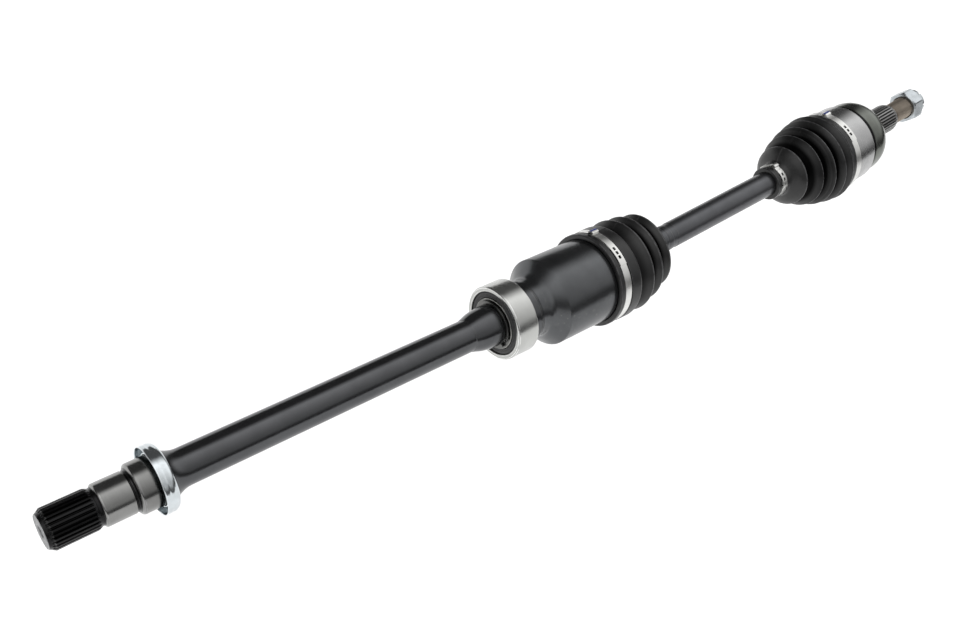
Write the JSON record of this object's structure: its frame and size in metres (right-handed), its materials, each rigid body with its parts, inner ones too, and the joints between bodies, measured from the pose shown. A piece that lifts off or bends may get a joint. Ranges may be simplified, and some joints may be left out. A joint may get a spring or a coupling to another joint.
{
  "type": "cv axle",
  "caption": "Front drive axle with a long intermediate shaft in a support bearing, a plunging tripod joint, a bar shaft and a fixed ball joint with a splined stub and hub nut.",
  "frame": {"origin": "centre of the support bearing, on the intermediate shaft's axis", "axes": "+X along the intermediate shaft towards the wheel, +Z towards the side both joints bend to at rest, Y across"},
  "size_m": [0.946, 0.0892, 0.1207],
  "materials": {
    "black_paint": "satin black paint, semi-gloss on the machined ends",
    "zinc_plate": "bright zinc plate",
    "bright_steel": "bright ground or rolled steel",
    "ground_steel": "ground steel, slightly oiled",
    "forged_steel": "machined forging",
    "seal_rubber": "matt dark grey seal",
    "boot_rubber": "matt black thermoplastic rubber"
  },
  "bodies": {
    "bearing_fixed": {"bearing_outer_ring": "bright_steel", "bearing_seal_inboard": "seal_rubber", "bearing_seal_outboard": "seal_rubber"},
    "bearing_ball_set": {"bearing_cage": "bright_steel", "bearing_ball_1": "bright_steel", "bearing_ball_2": "bright_steel", "bearing_ball_3": "bright_steel", "bearing_ball_4": "bright_steel", "bearing_ball_5": "bright_steel", "bearing_ball_6": "bright_steel", "bearing_ball_7": "bright_steel", "bearing_ball_8": "bright_steel", "bearing_ball_9": "bright_steel", "bearing_ball_10": "bright_steel", "bearing_ball_11": "bright_steel"},
    "intermediate": {"intermediate_shaft": "black_paint", "dust_shield": "zinc_plate", "bearing_inner_ring": "ground_steel", "bearing_snap_ring": "ground_steel", "inner_joint_housing": "black_paint", "inner_boot_large_clamp": "bright_steel"},
    "inner_boot_body": {"inner_boot": "boot_rubber"},
    "bar": {"bar_shaft": "black_paint", "tripod_spider": "forged_steel", "spider_circlip": "ground_steel", "race_circlip": "ground_steel", "inner_race": "ground_steel", "inner_boot_small_clamp": "bright_steel", "outer_boot_small_clamp": "bright_steel", "needle_set_1": "bright_steel", "needle_set_2": "bright_steel", "needle_set_3": "bright_steel", "roller_clip_1": "forged_steel", "roller_clip_2": "forged_steel", "roller_clip_3": "forged_steel"},
    "roller_1": {"roller_ring_1": "ground_steel"},
    "roller_2": {"roller_ring_2": "ground_steel"},
    "roller_3": {"roller_ring_3": "ground_steel"},
    "cage": {"ball_cage": "ground_steel", "drive_ball_1": "bright_steel", "drive_ball_2": "bright_steel", "drive_ball_3": "bright_steel", "drive_ball_4": "bright_steel", "drive_ball_5": "bright_steel", "drive_ball_6": "bright_steel"},
    "outer_boot_body": {"outer_boot": "boot_rubber"},
    "wheel_end": {"outer_joint_bell": "forged_steel", "outer_boot_large_clamp": "bright_steel", "hub_nut": "zinc_plate"}
  },
  "joints": [
    {"name": "shaft_spin", "type": "hinge", "parent": "bearing_fixed", "child": "intermediate", "pos_m": [0, 0, 0], "axis": [1, 0, 0], "continuous": true},
    {"name": "bearing_balls_spin", "type": "hinge", "parent": "bearing_fixed", "child": "bearing_ball_set", "pos_m": [0, 0, 0], "axis": [1, 0, 0], "continuous": true},
    {"name": "plunge", "type": "slide", "parent": "intermediate", "child": "inner_boot_body", "axis": [1, 0, 0], "range_m": [-0.005, 0.012], "deforming": ["inner_boot"]},
    {"name": "inner_tilt", "type": "hinge", "parent": "inner_boot_body", "child": "bar", "pos_m": [0.0724, 0, 0], "axis": [0, 1, 0], "range_deg": [-14.2, 25.8]},
    {"name": "roller_1_spin", "type": "hinge", "parent": "bar", "child": "roller_1", "pos_m": [0.0724, 0, 0], "axis": [-0.1011, 0, 0.9949], "range_deg": [-60, 60]},
    {"name": "roller_2_spin", "type": "hinge", "parent": "bar", "child": "roller_2", "pos_m": [0.0724, 0, 0], "axis": [0.0505, -0.866, -0.4974], "range_deg": [-60, 60]},
    {"name": "roller_3_spin", "type": "hinge", "parent": "bar", "child": "roller_3", "pos_m": [0.0724, 0, 0], "axis": [0.0505, 0.866, -0.4974], "range_deg": [-60, 60]},
    {"name": "steer_cage", "type": "hinge", "parent": "bar", "child": "cage", "pos_m": [0.43991, 0, 0.03733], "axis": [-0.1011, 0, 0.9949], "range_deg": [-20, 20]},
    {"name": "steer_boot", "type": "hinge", "parent": "cage", "child": "outer_boot_body", "pos_m": [0.43991, 0, 0.03733], "axis": [-0.1011, 0, 0.9949], "range_deg": [-20, 20], "deforming": ["outer_boot"]},
    {"name": "outer_tilt", "type": "hinge", "parent": "outer_boot_body", "child": "wheel_end", "pos_m": [0.43991, 0, 0.03733], "axis": [0, 1, 0], "range_deg": [-12.2, 19.8]}
  ],
  "couplings": [
    {"joint": "bearing_balls_spin", "follows": "shaft_spin", "ratio": 0.4175},
    {"joint": "roller_1_spin", "follows": "plunge", "rad_per_m": 62.5},
    {"joint": "roller_2_spin", "follows": "plunge", "rad_per_m": 62.5},
    {"joint": "roller_3_spin", "follows": "plunge", "rad_per_m": 62.5},
    {"joint": "steer_boot", "follows": "steer_cage", "ratio": 1}
  ]
}
